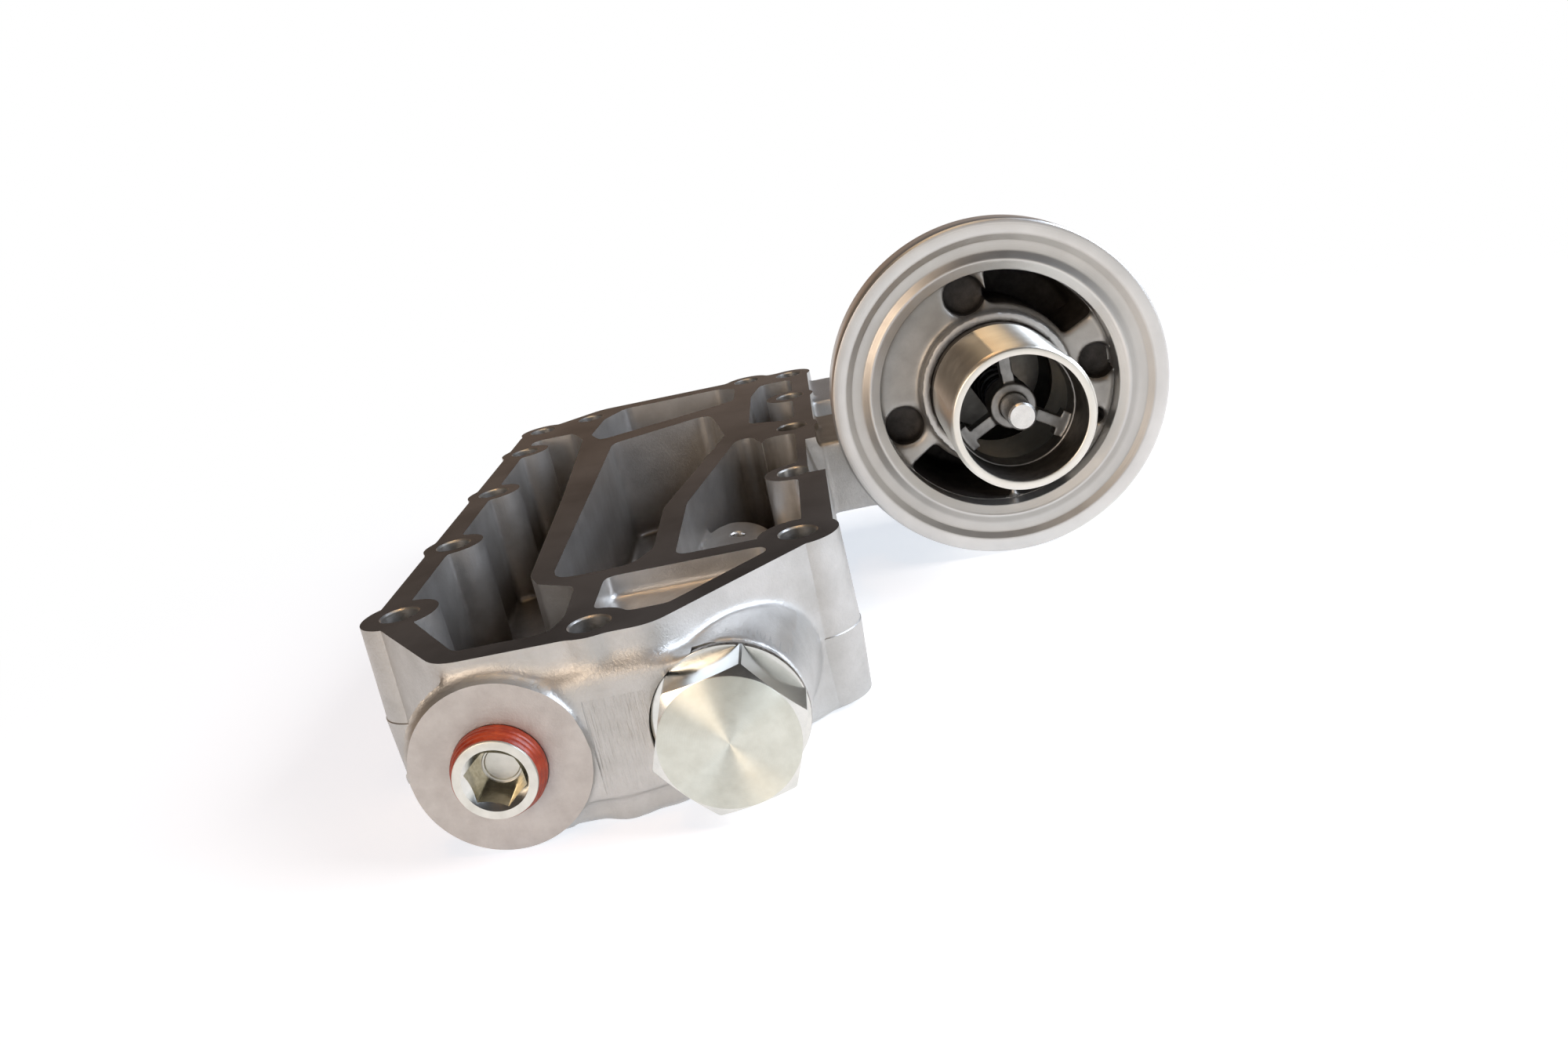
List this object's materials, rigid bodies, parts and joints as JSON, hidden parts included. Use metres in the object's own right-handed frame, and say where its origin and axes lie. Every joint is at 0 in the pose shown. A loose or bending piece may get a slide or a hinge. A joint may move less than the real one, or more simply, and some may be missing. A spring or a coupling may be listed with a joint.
{
  "type": "oil filter head",
  "caption": "Cast oil filter head: bolted flange with open galleries, side seat and threaded nipple for a spin-on filter, bypass valve, hexagon and socket plugs.",
  "frame": {"origin": "centre of the filter seat face, on the nipple's axis", "axes": "-Y is the way the filter and both plugs leave; +Z is square to the gasket face, upwards as it lies; +Y runs along the flange away from the plugs"},
  "size_m": [0.2653, 0.3282, 0.12],
  "materials": {
    "cast_aluminium": "fine shot-blasted casting, machined faces smooth",
    "bright_plating": "bright plated and turned",
    "turned_steel": "plated, lathe-turned face",
    "pressed_steel": "grey pressed steel",
    "spring_steel": "dark drawn wire",
    "valve_rubber": "matt black",
    "sealing_washer": "plain flat washer",
    "sealant": "cured red thread sealant"
  },
  "bodies": {
    "head": {"housing": "cast_aluminium", "filter_nipple": "bright_plating", "valve_guide": "pressed_steel", "valve_seat": "pressed_steel", "valve_spring": "spring_steel", "regulator_plug": "turned_steel", "plug_washer": "sealing_washer", "regulator_spring": "spring_steel", "socket_plug": "bright_plating", "thread_sealant": "sealant"},
    "bypass_valve": {"valve_stem": "bright_plating", "valve_disc": "pressed_steel", "valve_washer": "valve_rubber", "valve_nut": "bright_plating"},
    "regulator": {"regulator_plunger": "turned_steel"}
  },
  "joints": [
    {"name": "bypass_slide", "type": "slide", "parent": "head", "child": "bypass_valve", "axis": [0, -1, 0], "range_m": [0, 0.008], "stiffness_N_per_m": 2500, "springref_m": -0.02, "deforming": ["valve_spring"]},
    {"name": "regulator_slide", "type": "slide", "parent": "head", "child": "regulator", "axis": [0, -1, 0], "range_m": [0, 0.01], "stiffness_N_per_m": 6000, "springref_m": -0.034, "deforming": ["regulator_spring"]}
  ]
}
